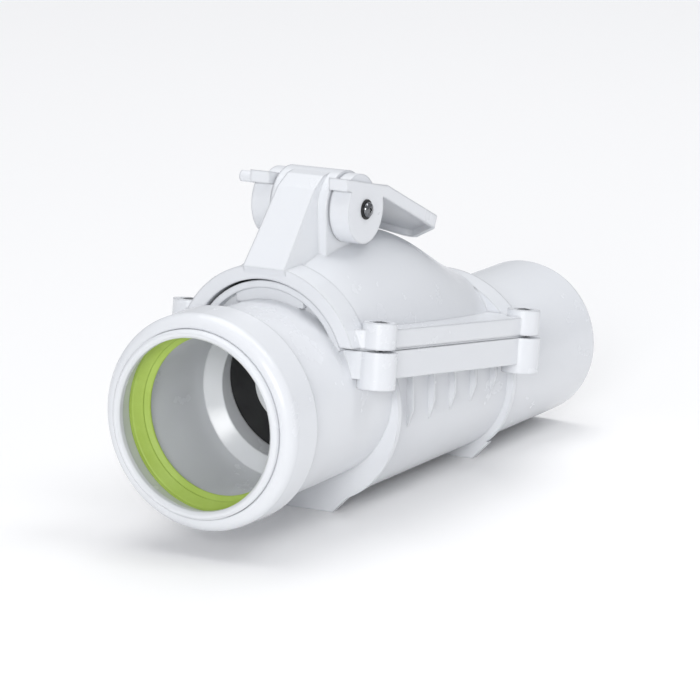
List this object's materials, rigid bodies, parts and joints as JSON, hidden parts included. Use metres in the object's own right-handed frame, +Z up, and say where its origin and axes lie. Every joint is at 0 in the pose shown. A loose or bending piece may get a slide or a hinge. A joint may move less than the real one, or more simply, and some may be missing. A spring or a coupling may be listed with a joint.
{
  "type": "backwater valve",
  "caption": "Drain backwater valve with a push-fit inlet socket, a plain outlet spigot, a hinged flap under a bolted dome cover and a top lever that locks the flap shut.",
  "frame": {"origin": "centre of the inlet socket's bore where the bore begins, at the mouth", "axes": "+X along the pipe in the direction of flow, +Z up, +Y to the left seen along the flow"},
  "size_m": [0.4418, 0.1676, 0.2247],
  "materials": {
    "shell_plastic": "glossy white moulded plastic",
    "cover_plastic": "glossy white moulded plastic",
    "lever_plastic": "satin white moulded plastic",
    "flap_plastic": "satin white moulded plastic",
    "seal_rubber": "matt yellow-green rubber",
    "black_rubber": "matt black rubber",
    "screw_steel": "dark polished plating",
    "pin_steel": "ground stainless steel",
    "crank_plastic": "matt glass-filled plastic",
    "bush_plastic": "matt dry-running plastic"
  },
  "bodies": {
    "shell": {"housing": "shell_plastic", "seal_retaining_ring": "shell_plastic", "socket_seal": "seal_rubber", "cover": "cover_plastic", "cover_gasket": "black_rubber", "cover_screws": "screw_steel", "cover_nuts": "pin_steel", "hinge_pin": "pin_steel", "hinge_clips": "pin_steel"},
    "flap_door": {"flap": "flap_plastic", "flap_seal": "black_rubber", "flap_clamp_disc": "flap_plastic", "clamp_screws": "pin_steel", "hinge_bushes": "bush_plastic"},
    "lock_lever": {"lever": "lever_plastic", "lever_screws": "screw_steel", "lever_washers": "black_rubber", "lock_shaft": "pin_steel", "shaft_o_rings": "black_rubber", "crank": "crank_plastic", "crank_pin": "pin_steel", "crank_cross_pin": "pin_steel"},
    "lock_bolt": {"lock_plunger": "crank_plastic", "plunger_pad": "black_rubber"}
  },
  "joints": [
    {"name": "flap_swing", "type": "hinge", "parent": "shell", "child": "flap_door", "pos_m": [0.122, 0, 0.072], "axis": [0, -1, 0], "range_deg": [0, 60]},
    {"name": "lever_turn", "type": "hinge", "parent": "shell", "child": "lock_lever", "pos_m": [0.15, 0, 0.1155], "axis": [0, -1, 0], "range_deg": [0, 80]},
    {"name": "bolt_slide", "type": "slide", "parent": "shell", "child": "lock_bolt", "axis": [0, 0, -1], "range_m": [0, 0.01675]}
  ],
  "couplings": [
    {"joint": "bolt_slide", "follows": "lever_turn", "m_per_rad": 0.01197}
  ]
}
